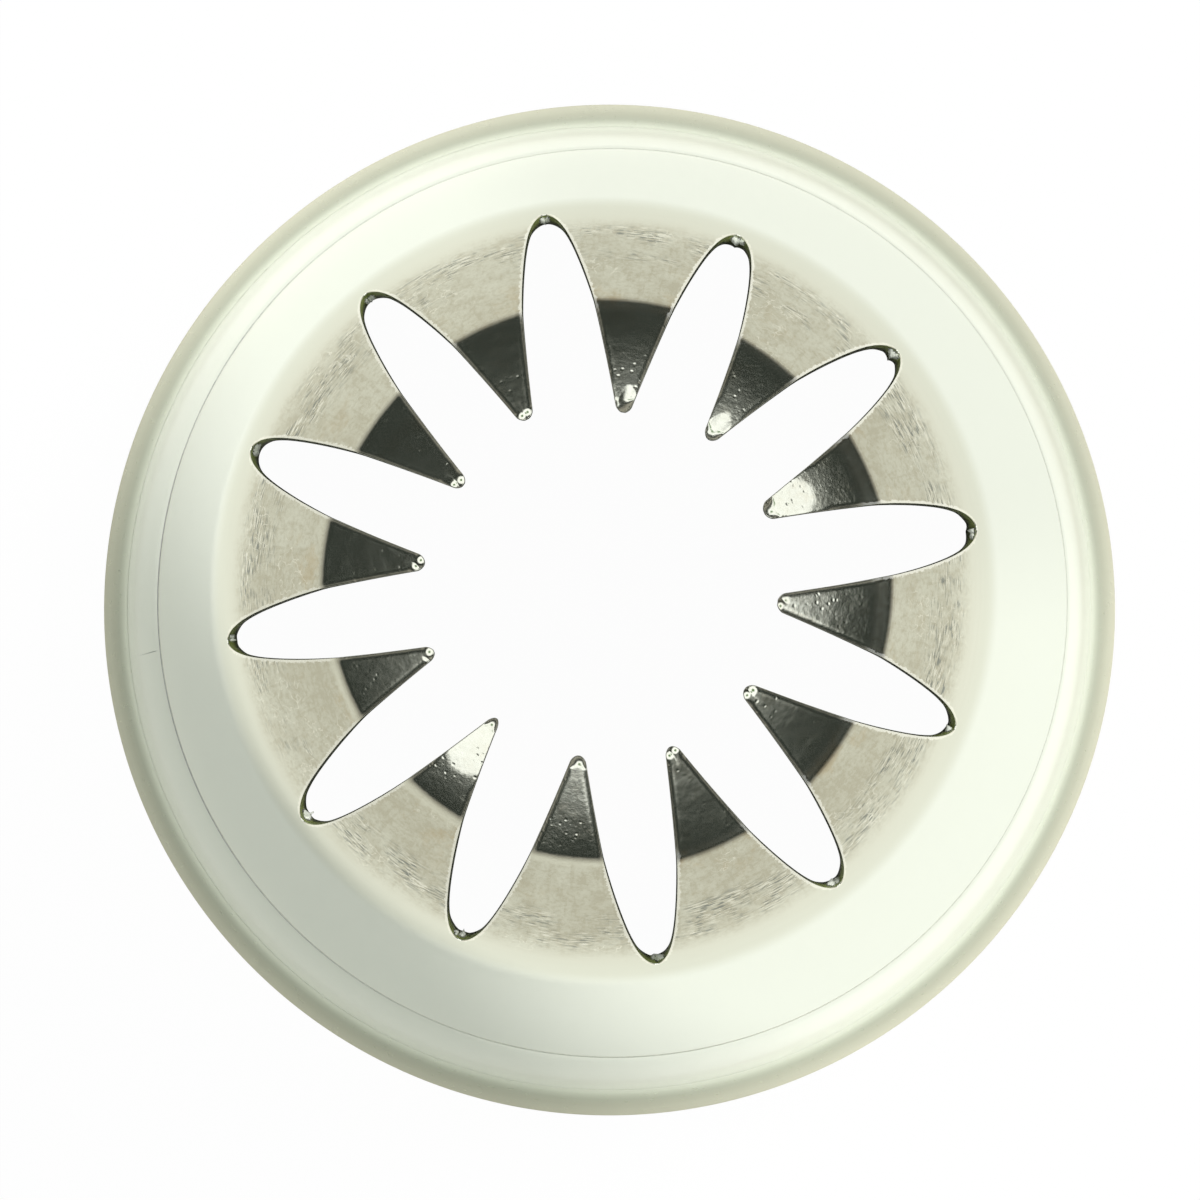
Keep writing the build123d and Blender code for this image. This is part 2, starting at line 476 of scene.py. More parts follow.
def bevel_drop(k, share, distance, half, sideways):
    """How far the worn edges of a tooth fall away from its face."""
    on_tooth = smooth_share(share, *BEVEL_SHARES)
    width = SHOULDER_BEVEL + (TOOTH_BEVEL - SHOULDER_BEVEL) * on_tooth
    radius = SHOULDER_EDGE_RADIUS + (TOOTH_EDGE_RADIUS - SHOULDER_EDGE_RADIUS) * on_tooth
    if DENTS[k] is not None:
        reach = abs(DENTS[k][0])
        past_dent = smooth_share(distance, reach, reach + DENT_BEVEL_FADE)
        width *= DENT_BEVEL_SHARE + (1 - DENT_BEVEL_SHARE) * past_dent
    left = max(half - width, NOSES[k][0][0])
    right = min(width - half, NOSES[k][1][0])
    away = np.maximum(sideways - left, 0) ** 2 + np.maximum(right - sideways, 0) ** 2
    return smooth_share(share, 0, BEVEL_START_SHARE) * away / (2 * radius)


def tooth_rows(k):
    """Vertex rows of one tooth's outer and inner faces, from its slots' ends to its tip."""
    line = np.vstack([wall_and_bend(), tooth_line(k)[1:]])
    inner_line = inner_of(line)
    positions = row_positions(k, line)
    outer = on_line(line, SLOT_SLOPE, positions)
    slots_end = closed_end()
    share = np.clip((positions - slots_end) / (positions[-1] - slots_end), 0, 1)
    cuts = END_CUT_SLOPE + (SIDE_CUT_SLOPE - END_CUT_SLOPE) * smooth_share(share, *END_CUT_SHARES)
    cuts += (TIP_CUT_SLOPE - SIDE_CUT_SLOPE) * smooth_share(share, *TIP_CUT_SHARES)
    inner = np.vstack([on_line(inner_line, c, [p @ across(c)]) for c, p in zip(cuts, outer)])
    taper = EDGE_ROUND + WALL_TAPER * (1 - smooth_share(share, *TAPER_SHARES))
    low, high = tooth_edges(k, outer[:, 0], slot_half_width(positions, taper), share)
    low_in, high_in = tooth_edges(k, inner[:, 0], slot_half_width(positions, EDGE_ROUND), share)
    distance = outer[:, 0] - TIP_RADII[k] - EDGE_ROUND
    narrowed = nose_width_share(distance)
    roll = math.tan(math.radians(TOOTH_ROLLS[k])) * smooth_share(share, *ROLL_SHARES)
    spread = column_shares() * 2 - 1
    outer_rows, inner_rows = [], []
    for j in range(len(positions)):
        half = (high[j] - low[j]) / 2 * outer[j, 0]
        sideways = spread * half * narrowed[j]
        tilt = roll[j] * sideways
        dent = dent_drop(k, distance[j], sideways)
        drop = dent + lobe_drop(k, distance[j], sideways)
        drop += bevel_drop(k, share[j], distance[j], half, sideways)
        turns = (low[j] + high[j]) / 2 + sideways / outer[j, 0]
        turns_in = (low_in[j] + high_in[j]) / 2 + spread * (high_in[j] - low_in[j]) / 2 * narrowed[j]
        outer_rows.append(around(outer[j, 0], outer[j, 1] + tilt - drop, turns))
        inner_rows.append(around(inner[j, 0], inner[j, 1] + tilt - dent, turns_in))
    return outer_rows, inner_rows


def ring_rows():
    """Section points of the full ring, outside and inside, from the tail to the slots' ends."""
    ledge, tail_foot = COLLAR_HEIGHT + GAP, COLLAR_HEIGHT - LAP_LENGTH
    tail_low, tail_top = collar_inner(tail_foot) - GAP, collar_inner(ledge) - GAP
    foot_radius, _ = wall_foot()
    line = wall_and_bend()
    inner_line = inner_of(line)
    end = closed_end() - EDGE_ROUND
    cut_off = line[line @ across(SLOT_SLOPE) < end]
    spaced = np.linspace(0, 1, WALL_ROWS)
    lengths = np.linspace(0, 1, len(cut_off))
    wall = np.stack([np.interp(spaced, lengths, cut_off[:, i]) for i in (0, 1)], axis=1)
    wall[-1], last_but_one = on_line(line, SLOT_SLOPE, [end, end - END_ROW_STEP])
    wall = np.insert(wall, -1, last_but_one, axis=0)
    inner_end = on_line(inner_line, END_CUT_SLOPE, [wall[-1] @ across(END_CUT_SLOPE)])[0]
    joggle_top = ledge + JOGGLE_HEIGHT
    inner_top = inner_end[1] - INNER_WALL_MARGIN
    inner_part = inner_line[(inner_line[:, 1] > joggle_top) & (inner_line[:, 1] < inner_top)]
    inner_wall = inner_part[np.linspace(0, len(inner_part) - 1, INNER_WALL_ROWS).astype(int)]
    outside = [
        (tail_low, tail_foot),
        (tail_low + (tail_top - tail_low) * 0.5, tail_foot + (ledge - tail_foot) * 0.5),
        (tail_top, ledge),
        *((foot_radius - inward, ledge + up) for inward, up in LEDGE_ROUND),
        *wall[1:],
    ]
    inside = [
        (tail_low - SHEET, tail_foot),
        *((tail_top - SHEET - inward, ledge + up) for inward, up in JOGGLE_FOOT),
        *inner_wall,
        tuple(inner_end),
    ]
    return outside, inside


def make_cone():
    """The drawn cone: a closed shell with rounded edges along the slots and round the teeth."""
    mesh = MeshBuilder()
    turns = ring_turns()
    count, n = len(turns), COLUMNS_PER_TOOTH
    sides = []
    for section in ring_rows():
        rows = [mesh.add(around(r, z, turns)) for r, z in section]
        for low, high in zip(rows, rows[1:]):
            mesh.bridge(low, high, closed=True)
        sides.append(rows)
    mesh.bridge(sides[0][0], sides[1][0], closed=True)
    edges = ([], [])
    for k in range(TEETH):
        for points, ring, edge in zip(tooth_rows(k), sides, edges):
            rows = [[ring[-1][(k * n + j) % count] for j in range(n + 1)]]
            rows.extend(mesh.add(row) for row in points)
            for low, high in zip(rows, rows[1:]):
                mesh.bridge(low, high, closed=False)
            edge.extend(row[0] for row in rows)
            edge.extend(rows[-1][1:-1])
            edge.extend(row[-1] for row in reversed(rows[1:]))
    close_edge(mesh, *edges)
    mesh.outline = edges[0]
    return mesh.build("drawn_cone")


def slot_ends(points):
    """For points of the star's outline: the slot end they lie on, or -1, and their place sideways."""
    turn = np.degrees(np.arctan2(points[:, 1], points[:, 0]))
    radius = np.hypot(points[:, 0], points[:, 1])
    off = (turn[:, None] - np.array(SLOT_END_TURNS)[None] + 180) % 360 - 180
    nearest = np.argmin(np.abs(off), axis=1)
    sideways = np.radians(off[np.arange(len(points)), nearest]) * radius
    nearest[radius < SLOT_END[0] - SLOT_END_REACH] = -1
    return nearest, sideways


def tongue_swell(nearest, sideways):
    """How far the tongues reach into the slots."""
    swell = np.zeros(len(sideways))
    for k, (place, width, height) in enumerate(TONGUES):
        near = np.clip(1 - ((sideways - place) / width) ** 2, 0, 1) ** TONGUE_POWER
        swell += (nearest == k) * near * height
    return swell


def burr_swell(nearest, sideways, share):
    """How far the beads of burr stand out at a share of the way through, and how much they cover."""
    swell, cover = np.zeros(len(sideways)), np.zeros(len(sideways))
    for k, beads in enumerate(BURRS):
        for place, width, height, depth in beads:
            spread = width * BURR_SPREAD
            away = ((sideways - place) / spread) ** 2 + ((share - depth) / BURR_REACH_SHARE) ** 2
            near = np.clip(1 - away, 0, 1) * (nearest == k)
            swell += height * BURR_BULGE * near
            cover = np.maximum(cover, near)
    return swell, smooth_share(cover, *BURR_COVER_SHARES)


def close_edge(mesh, outer, inner):
    """Rounded cut face between the outer and inner outlines of the star."""
    top = np.array([mesh.points[i] for i in outer])
    low = np.array([mesh.points[i] for i in inner])
    tangent = np.roll(top, -1, axis=0) - np.roll(top, 1, axis=0)
    through = low - top
    thickness = np.linalg.norm(through, axis=1)[:, None]
    through /= thickness
    out = np.cross(tangent, through)
    out /= np.linalg.norm(out, axis=1)[:, None]
    nose = np.argmin(np.hypot(top[:, 0], top[:, 1]))
    if out[nose] @ top[nose] > 0:
        out = -out
    nearest, sideways = slot_ends(top)
    tongue = tongue_swell(nearest, sideways)[:, None]
    rows = [outer]
    quarter = np.radians(ROUND_TURNS)
    depths = [EDGE_ROUND * (1 - math.cos(a)) for a in quarter]
    reaches = [EDGE_ROUND * math.sin(a) for a in quarter]
    for depth, reach, cut in zip(depths, reaches, ROUND_CUTS):
        rows.append(mesh.add(top + out * reach + through * depth, cut))
    for share in np.linspace(*CUT_ROW_LIMITS, CUT_ROWS):
        beads, cover = burr_swell(nearest, sideways, share)
        swell = tongue * smooth_share(share, *TONGUE_SHARES) + beads[:, None]
        # cut rises through the sheet so that shade is painted deeper in the cut, and turns negative on the
        # beads for their painted glint
        cut = (0.5 + 0.5 * smooth_share(share, *DEEP_SHADE_SHARES)) * (1 - cover) - cover
        rows.append(mesh.add(top + out * (EDGE_ROUND + swell) + through * thickness * share, cut))
    for depth, reach in reversed(list(zip(depths, reaches))):
        swell = tongue * reach / EDGE_ROUND
        rows.append(mesh.add(low + out * (reach + swell) - through * depth, 1.0))
    rows.append(inner)
    for a, b in zip(rows, rows[1:]):
        mesh.bridge(a, b, closed=True)


def collar_face(z):
    """Radius of the collar's outer face, which closes in a little under its upper edge."""
    return collar_outer(z) - COLLAR_NIP * max(0, z - COLLAR_HEIGHT + COLLAR_NIP_LENGTH) ** 2


def make_collar():
    """The collar: a hoop whose butt seam gapes a little below its upper edge."""
    mesh = MeshBuilder()
    foot, top, soft = RIM_FLOOR + GAP, COLLAR_HEIGHT, COLLAR_SOFT
    lower = np.linspace(foot + soft, COLLAR_MIDDLE[0], COLLAR_ROWS[0])
    upper = np.linspace(COLLAR_MIDDLE[1], top - soft, COLLAR_ROWS[1])
    heights = np.concatenate([lower, upper])
    outside = [(collar_outer(foot) - soft, foot), *((collar_face(z), z) for z in heights)]
    outside.insert(-1, (collar_face(top - 2 * soft), top - 2 * soft))
    edge = [outside.pop(), (collar_face(top) - soft * 0.8, top), (collar_inner(top) + soft, top)]
    inside = [*((collar_inner(z), z) for z in heights[::-1]), (collar_inner(foot) + soft, foot)]
    cuts = [0] * len(outside) + [1] * len(edge) + [0] * len(inside)
    rows = []
    for (radius, z), cut in zip(outside + edge + inside, cuts):
        depth = np.clip((top - z) / SEAM_OPEN_LENGTH, 0, 1)
        gap = SEAM_CLOSED_WIDTH + SEAM_WIDTH * (1 - depth) * smooth_share(depth, *SEAM_OPENING_SHARES)
        start = math.radians(SEAM_TURN)
        stop = start + 2 * math.pi - gap / 2 / radius
        turns = np.linspace(start + gap / 2 / radius, stop, HOOP_COLUMNS + 1)
        rows.append(mesh.add(around(radius, z, turns), cut))
    for a, b in zip(rows, rows[1:] + rows[:1]):
        mesh.bridge(a, b, closed=False)
    for end in (0, -1):
        ids = [row[end] for row in rows]
        for i in range(len(ids) // 2 - 1):
            mesh.faces.append((ids[i], ids[i + 1], ids[-2 - i], ids[-1 - i]))
    return mesh.build("lapped_collar")


def arc_points(centre, radius, limits, count):
    """Points of a section arc between two angles, in degrees from level outward."""
    turn = np.radians(np.linspace(*limits, count))
    return [(centre[0] + radius * math.cos(a), centre[1] + radius * math.sin(a)) for a in turn]


def make_rim():
    """The rim ring: floor and seat inside, and a flared skirt that runs softly into the collar."""
    mesh = MeshBuilder()
    slope = math.radians(RIM_SLOPE)
    wall = math.atan2(COLLAR_HEIGHT, COLLAR_BASE_RADIUS - COLLAR_TOP_RADIUS)
    edge = np.array([RIM_OUTER, RIM_EDGE])
    climb = (edge[0] - collar_outer(edge[1])) / (1 / math.tan(slope) - 1 / math.tan(wall))
    meeting = np.array([collar_outer(edge[1] + climb), edge[1] + climb])
    tangent = RIM_FILLET * math.tan((wall - slope) / 2)
    low = meeting - np.array([-math.cos(slope), math.sin(slope)]) * tangent
    centre = low + np.array([math.sin(slope), math.cos(slope)]) * RIM_FILLET
    angles = np.linspace(slope, wall, RIM_FILLET_ROWS)
    fillet = [tuple(centre - np.array([math.sin(a), math.cos(a)]) * RIM_FILLET) for a in angles]
    flank = [tuple(edge + (low - edge) * share) for share in RIM_FLANK_SHARES]
    top_radius, top = fillet[-1]
    seat_top = top - RIM_LIP_DEPTH
    bore = collar_inner(RIM_FLOOR + GAP)
    sole = (RIM_OUTER - RIM_SOLE_ROUND, RIM_SOLE_ROUND)
    section = [
        (bore, RIM_BORE_ROUND),
        (bore, RIM_FLOOR),
        (collar_outer(RIM_FLOOR) + GAP, RIM_FLOOR),
        (collar_outer(seat_top) + RIM_LIP / 4, seat_top),
        (top_radius + RIM_LIP / 2, top),
        *((r + RIM_LIP, z) for r, z in fillet[::-1]),
        *flank[::-1],
        *arc_points(sole, RIM_SOLE_ROUND, RIM_SOLE_TURNS, RIM_SOLE_ROWS),
        (bore + RIM_BORE_ROUND, 0.0),
    ]
    turns = np.linspace(0, 2 * math.pi, HOOP_COLUMNS + 1)[:-1]
    rows = [mesh.add(around(r, z, turns)) for r, z in section]
    for a, b in zip(rows, rows[1:] + rows[:1]):
        mesh.bridge(a, b, closed=True)
    return mesh.build("flared_rim")


class Nodes:
    """Short ways to add and link a node tree's nodes."""

    def __init__(self, tree):
        self.tree = tree

    def add(self, kind, **settings):
        node = self.tree.nodes.new(kind)
        for name, value in settings.items():
            setattr(node, name, value)
        return node

    def link(self, source, target):
        self.tree.links.new(source, target)

    def fill(self, socket, value):
        if isinstance(value, bpy.types.NodeSocket):
            self.link(value, socket)
        else:
            socket.default_value = value

    def math(self, operation, *values, clamp=False):
        node = self.add("ShaderNodeMath", operation=operation, use_clamp=clamp)
        for socket, value in zip(node.inputs, values):
            self.fill(socket, value)
        return node.outputs[0]

    def total(self, layers):
        """Sum of values, each times its weight."""
        parts = [self.math("MULTIPLY", value, weight) for value, weight in layers]
        result = parts[0]
        for part in parts[1:]:
            result = self.math("ADD", result, part)
        return result

    def join(self, x, y, z):
        node = self.add("ShaderNodeCombineXYZ")
        for socket, value in zip(node.inputs, (x, y, z)):
            self.fill(socket, value)
        return node.outputs[0]

    def ramp(self, value, low, high, smooth=True):
        """0 below low, 1 above high."""
        node = self.add("ShaderNodeMapRange", interpolation_type="SMOOTHSTEP" if smooth else "LINEAR")
        self.fill(node.inputs["Value"], value)
        node.inputs["From Min"].default_value = low
        node.inputs["From Max"].default_value = high
        return node.outputs["Result"]

    def noise(self, vector, scale, detail=2.0, roughness=0.5):
        node = self.add("ShaderNodeTexNoise")
        self.link(vector, node.inputs["Vector"])
        node.inputs["Scale"].default_value = scale
        node.inputs["Detail"].default_value = detail
        node.inputs["Roughness"].default_value = roughness
        return node.outputs["Fac"]

    def blend(self, factor, first, second):
        """The first colour where factor is 0, and the second where it is 1."""
        node = self.add("ShaderNodeMix", data_type="RGBA")
        self.fill(node.inputs["Factor"], factor)
        for name, colour in (("A", first), ("B", second)):
            self.fill(node.inputs[name], (*colour, 1) if isinstance(colour, tuple) else colour)
        return node.outputs["Result"]

    def relief(self, shader, height, depth):
        """Bump of a depth in millimetres."""
        node = self.add("ShaderNodeBump")
        node.inputs["Distance"].default_value = depth * MM
        self.link(height, node.inputs["Height"])
        self.link(node.outputs["Normal"], shader.inputs["Normal"])

    def colour_ramp(self, value, stops):
        node = self.add("ShaderNodeValToRGB")
        self.link(value, node.inputs["Fac"])
        elements = node.color_ramp.elements
        while len(elements) < len(stops):
            elements.new(0.5)
        for element, (place, colour) in zip(elements, stops):
            element.position = place
            element.color = (*colour, 1)
        return node.outputs["Color"]


def surface_coordinates(nodes):
    """Place in millimetres, radius, height and turn vector of a point on the nozzle."""
    place = nodes.add("ShaderNodeTexCoord").outputs["Object"]
    scaled = nodes.add("ShaderNodeVectorMath", operation="SCALE")
    nodes.link(place, scaled.inputs[0])
    scaled.inputs["Scale"].default_value = 1 / MM
    parts = nodes.add("ShaderNodeSeparateXYZ")
    nodes.link(scaled.outputs[0], parts.inputs[0])
    x, y, z = parts.outputs
    radius = nodes.math("SQRT", nodes.math("ADD", nodes.math("MULTIPLY", x, x), nodes.math("MULTIPLY", y, y)))
    across_x, across_y = nodes.math("DIVIDE", x, radius), nodes.math("DIVIDE", y, radius)
    climb = nodes.math("SUBTRACT", z, radius)
    return scaled.outputs[0], radius, z, climb, (across_x, across_y)


def streaks(nodes, turn, climb, turn_scale, climb_scale, detail):
    """Noise drawn out along or across the turning direction, with no seam."""
    x, y = turn
    vector = nodes.join(
        nodes.math("MULTIPLY", x, turn_scale),
        nodes.math("MULTIPLY", y, turn_scale),
        nodes.math("MULTIPLY", climb, climb_scale),
    )
    return nodes.noise(vector, 1.0, detail)


def new_material(name):
    material = bpy.data.materials.new(name)
    material.use_nodes = True
    return material, Nodes(material.node_tree), material.node_tree.nodes["Principled BSDF"]


# Climb, the height less the radius, grows steadily from the collar to the tips:
# -2.5 at the wall's foot, 14 at the slots' ends, 20 at the crease and 23 at the tips
CREASE_CLIMB = 20.0
SCUFFS_START, SCUFFS_FULL, SCUFFS_FADE, SCUFFS_END = 15.0, 15.7, 16.8, 17.6
SHOULDER_START, SHOULDER_FULL = 14.4, 15.6
SLOT_SIDES_START, SLOT_SIDES_FULL = 14.5, 15.6
STAINS_START = 16.5
# Width of the pale line along the star's outline: edge wear, and a painted highlight on the edge's rounding
EDGE_WEAR_AND_HIGHLIGHT_WIDTH = 0.05
TOOTH_RELIEF = 0.010
POLISHED_ROUGHNESS = 0.14
SATIN_ROUGHNESS = 0.26
# Sides of the star whose teeth are rougher, and the side where the collar's upper edge stands open and is
# painted darkest
ROUGH_TURNS = (38, 245)
OPEN_SHADE_TURN = 165
STEEL = (0.80, 0.81, 0.765)
STEEL_CLOUD = (0.64, 0.625, 0.555)
STEEL_STAIN = (0.62, 0.52, 0.37)
SCUFF_DARK = (0.33, 0.35, 0.35)
# Pale colour of light scuffs, scratches and edge wear, and of the painted highlight along the star's outline
SCUFF_AND_EDGE_HIGHLIGHT = (1.0, 1.0, 0.97)
# Cut faces: olive as a painted reflection of the nozzle's dim inside, near-black as painted shade deeper in
# and along the slot sides
CUT_OLIVE_REFLECTION = (0.27, 0.32, 0.09)
CUT_DEEP_SHADE = (0.045, 0.052, 0.025)
# Painted glints: the beads of burr pale and less metallic
BEAD_PAINTED_GLINT = (0.98, 1.0, 0.90)
# Painted shade along the collar's upper edge face
EDGE_SHADE_GREY = (0.28, 0.26, 0.33)
# Painted shade on the collar's foot just above the rim, and the heights above RIM_TOP where it fades and ends
COLLAR_FOOT_SHADE = (0.92, 0.935, 0.88)
COLLAR_FOOT_FADE, COLLAR_FOOT_END = 0.5, 2.3
RIM_MARKS = (0.45, 0.45, 0.36)
RIM_TOP = 1.9
# Rim's base colour, at shares of the way from the base to RIM_TOP: beige at the edge,
# and painted shade, darkest in the valley where the rim runs up into the collar
RIM_TONES_AND_VALLEY_SHADE = (
    (0.00, (0.54, 0.52, 0.36)),
    (0.10, (0.59, 0.57, 0.48)),
    (0.24, (0.57, 0.56, 0.47)),
    (0.40, (0.52, 0.515, 0.43)),
    (0.55, (0.50, 0.51, 0.43)),
    (0.64, (0.55, 0.565, 0.48)),
    (0.72, (0.61, 0.63, 0.54)),
    (0.82, (0.71, 0.735, 0.64)),
    (1.00, (0.84, 0.86, 0.78)),
)


def facing(nodes, turn, direction):
    """Cosine of how far round the axis a point lies from a direction in degrees."""
    x, y = turn
    angle = math.radians(direction)
    return nodes.total(((x, math.cos(angle)), (y, math.sin(angle))))


def zone(nodes, value, start, full, fade, end):
    """1 between full and fade, 0 before start and after end."""
    rising = nodes.ramp(value, start, full)
    falling = nodes.ramp(value, end, fade)
    return nodes.math("MULTIPLY", rising, falling)


def cone_steel():
    """Polished wall, scuffed shoulder and dimpled teeth; cut faces painted olive and near-black as reflection
    and shade, pale painted glints on the burr beads, and pale edges, partly wear and partly painted
    highlight.
    """
    material, nodes, shader = new_material("cone_steel")
    place, _, _, climb, turn = surface_coordinates(nodes)
    on_teeth = nodes.ramp(climb, CREASE_CLIMB - 0.25, CREASE_CLIMB + 0.1)
    off_teeth = nodes.math("SUBTRACT", 1.0, on_teeth)
    on_shoulder = nodes.math("MULTIPLY", nodes.ramp(climb, SHOULDER_START, SHOULDER_FULL), off_teeth)
    scuff_zone = zone(nodes, climb, SCUFFS_START, SCUFFS_FULL, SCUFFS_FADE, SCUFFS_END)
    clusters = nodes.ramp(nodes.noise(place, 1.0, 3.0, 0.65), 0.40, 0.62)
    scuffed = nodes.math("MULTIPLY", scuff_zone, clusters)
    dashes = streaks(nodes, turn, climb, 30, 15.0, 1.5)
    dark = nodes.math("MULTIPLY", nodes.ramp(dashes, 0.53, 0.63), scuffed)
    light = nodes.math("MULTIPLY", nodes.ramp(dashes, 0.44, 0.36), scuffed)
    rubbed = nodes.math("MAXIMUM", on_shoulder, nodes.math("MULTIPLY", on_teeth, 0.35))
    grain = nodes.noise(place, 10.0, 3.0, 0.6)
    turned = streaks(nodes, turn, climb, 3.0, 5.0, 3.0)
    layers = (
        (nodes.ramp(nodes.noise(place, 0.5, 3.0), 0.38, 0.66), 0.40),
        (nodes.ramp(nodes.noise(place, 2.4, 5.0, 0.68), 0.40, 0.66), 0.50),
        (nodes.ramp(grain, 0.44, 0.66), 0.50),
        (nodes.ramp(streaks(nodes, turn, climb, 60, 0.8, 2.0), 0.54, 0.70), 0.35),
    )
    cloud = nodes.math("MULTIPLY", nodes.total(layers), rubbed)
    cloud = nodes.math("ADD", cloud, nodes.math("MULTIPLY", nodes.ramp(turned, 0.35, 0.75), 0.07), clamp=True)
    colour = nodes.blend(cloud, STEEL, STEEL_CLOUD)
    stained = nodes.math("MULTIPLY", nodes.ramp(climb, STAINS_START, CREASE_CLIMB), rubbed)
    stains = nodes.ramp(nodes.noise(place, 0.8, 5.0, 0.7), 0.52, 0.68)
    stain_cover = nodes.math("MULTIPLY", nodes.math("MULTIPLY", stains, stained), 0.55)
    colour = nodes.blend(stain_cover, colour, STEEL_STAIN)
    colour = nodes.blend(dark, colour, SCUFF_DARK)
    colour = nodes.blend(light, colour, SCUFF_AND_EDGE_HIGHLIGHT)
    ridge = nodes.math("ABSOLUTE", nodes.math("SUBTRACT", nodes.noise(place, 2.6, 2.0), 0.5))
    few = nodes.math("MULTIPLY", nodes.ramp(nodes.noise(place, 0.7, 1.0), 0.55, 0.62), on_shoulder)
    scratch = nodes.math("MULTIPLY", nodes.ramp(ridge, 0.014, 0.004), few)
    # Pale line along the star's outline off the teeth: partly edge wear, partly a painted highlight on the
    # edge's rounding.
    edge = nodes.add("ShaderNodeAttribute", attribute_name="edge").outputs["Fac"]
    ragged = nodes.math("ADD", edge, nodes.math("MULTIPLY", nodes.math("SUBTRACT", grain, 0.5), 0.16))
    worn = nodes.ramp(ragged, EDGE_WEAR_AND_HIGHLIGHT_WIDTH, EDGE_WEAR_AND_HIGHLIGHT_WIDTH * 0.6)
    worn = nodes.math("MULTIPLY", worn, off_teeth)
    pale = nodes.math("MAXIMUM", nodes.math("MULTIPLY", scratch, 0.7), worn)
    colour = nodes.blend(pale, colour, SCUFF_AND_EDGE_HIGHLIGHT)

    # Painted reflection and shade on the cut faces: olive at the slots' ends, near-black deep in the cuts and
    # along the slot sides.
    cut = nodes.add("ShaderNodeAttribute", attribute_name="cut").outputs["Fac"]
    sides = nodes.ramp(climb, SLOT_SIDES_START, SLOT_SIDES_FULL)
    into_cut = nodes.ramp(cut, 0.05, 0.5, smooth=False)
    deep = nodes.math("MAXIMUM", nodes.ramp(cut, 0.5, 1.0, smooth=False), sides)
    face = nodes.blend(deep, CUT_OLIVE_REFLECTION, CUT_DEEP_SHADE)
    colour = nodes.blend(into_cut, colour, face)
    # Painted glint: the beads of burr pale and less metallic, standing in for their glints.
    bead = nodes.ramp(cut, -0.05, -0.6)
    colour = nodes.blend(bead, colour, BEAD_PAINTED_GLINT)
    nodes.link(colour, shader.inputs["Base Color"])
    dull = nodes.math("MAXIMUM", nodes.math("MULTIPLY", into_cut, 0.65), nodes.math("MULTIPLY", bead, 0.85))
    dull = nodes.math("MAXIMUM", dull, nodes.math("MULTIPLY", nodes.math("MULTIPLY", worn, on_shoulder), 0.2))
    nodes.link(nodes.math("SUBTRACT", 1.0, dull), shader.inputs["Metallic"])
    rough_sides = (
        (nodes.ramp(facing(nodes, turn, ROUGH_TURNS[0]), 0.2, 0.95), 0.60),
        (nodes.ramp(facing(nodes, turn, ROUGH_TURNS[1]), 0.6, 0.95), 0.45),
    )
    rough_side = nodes.math("MULTIPLY", nodes.math("ADD", nodes.total(rough_sides), 0.12), on_teeth)
    roughened = nodes.math("MULTIPLY", rough_side, nodes.ramp(climb, CREASE_CLIMB + 0.3, CREASE_CLIMB + 2.4))
    roughness = (
        (on_shoulder, 0.06),
        (on_teeth, 0.02),
        (roughened, 0.11),
        (scuffed, 0.08),
        (into_cut, 0.20),
    )
    rough = nodes.math("ADD", POLISHED_ROUGHNESS, nodes.total(roughness))
    nodes.link(rough, shader.inputs["Roughness"])

    dimples = nodes.add("ShaderNodeTexVoronoi", feature="F1")
    nodes.link(place, dimples.inputs["Vector"])
    dimples.inputs["Scale"].default_value = 6.5
    dimple = nodes.ramp(dimples.outputs["Distance"], 0.34, 0.0)
    patches = nodes.ramp(nodes.noise(place, 1.1, 2.0), 0.44, 0.60)
    dimple_cover = nodes.math("ADD", roughened, nodes.math("MULTIPLY", on_teeth, 0.15))
    dimpled = nodes.math("MULTIPLY", patches, dimple_cover)
    heights = (
        (nodes.math("MULTIPLY", nodes.noise(place, 2.6, 2.0), on_teeth), 0.70),
        (nodes.math("MULTIPLY", nodes.noise(place, 14.0, 2.0, 0.6), rough_side), 0.42),
        (nodes.math("MULTIPLY", dimple, dimpled), -1.1),
        (nodes.math("MULTIPLY", dashes, scuffed), 0.35),
    )
    nodes.relief(shader, nodes.total(heights), TOOTH_RELIEF)
    return material


def collar_steel():
    """Polished sheet with fine turning marks, and painted shade on its foot and along its upper edge, darkest
    on the side where that edge stands a little open.
    """
    material, nodes, shader = new_material("collar_steel")
    _, _, z, climb, turn = surface_coordinates(nodes)
    marks = nodes.ramp(streaks(nodes, turn, climb, 4.0, 8.0, 3.0), 0.35, 0.75)
    colour = nodes.blend(nodes.math("MULTIPLY", marks, 0.08), STEEL, STEEL_CLOUD)
    # Painted shade: the collar darker towards its foot, close above the rim.
    foot = nodes.ramp(z, RIM_TOP + COLLAR_FOOT_END, RIM_TOP + COLLAR_FOOT_FADE)
    colour = nodes.blend(foot, colour, COLLAR_FOOT_SHADE)
    cut = nodes.add("ShaderNodeAttribute", attribute_name="cut").outputs["Fac"]
    # Painted shade: a dark line along the collar's upper edge face, darkest on the side where it stands open.
    open_side_shade = nodes.ramp(facing(nodes, turn, OPEN_SHADE_TURN), -0.3, 0.6)
    colour = nodes.blend(nodes.math("MULTIPLY", cut, open_side_shade), colour, EDGE_SHADE_GREY)
    nodes.link(colour, shader.inputs["Base Color"])
    shader.inputs["Metallic"].default_value = 1.0
    rough = nodes.math("ADD", POLISHED_ROUGHNESS, nodes.total(((cut, 0.30), (foot, 0.10))))
    nodes.link(rough, shader.inputs["Roughness"])
    return material


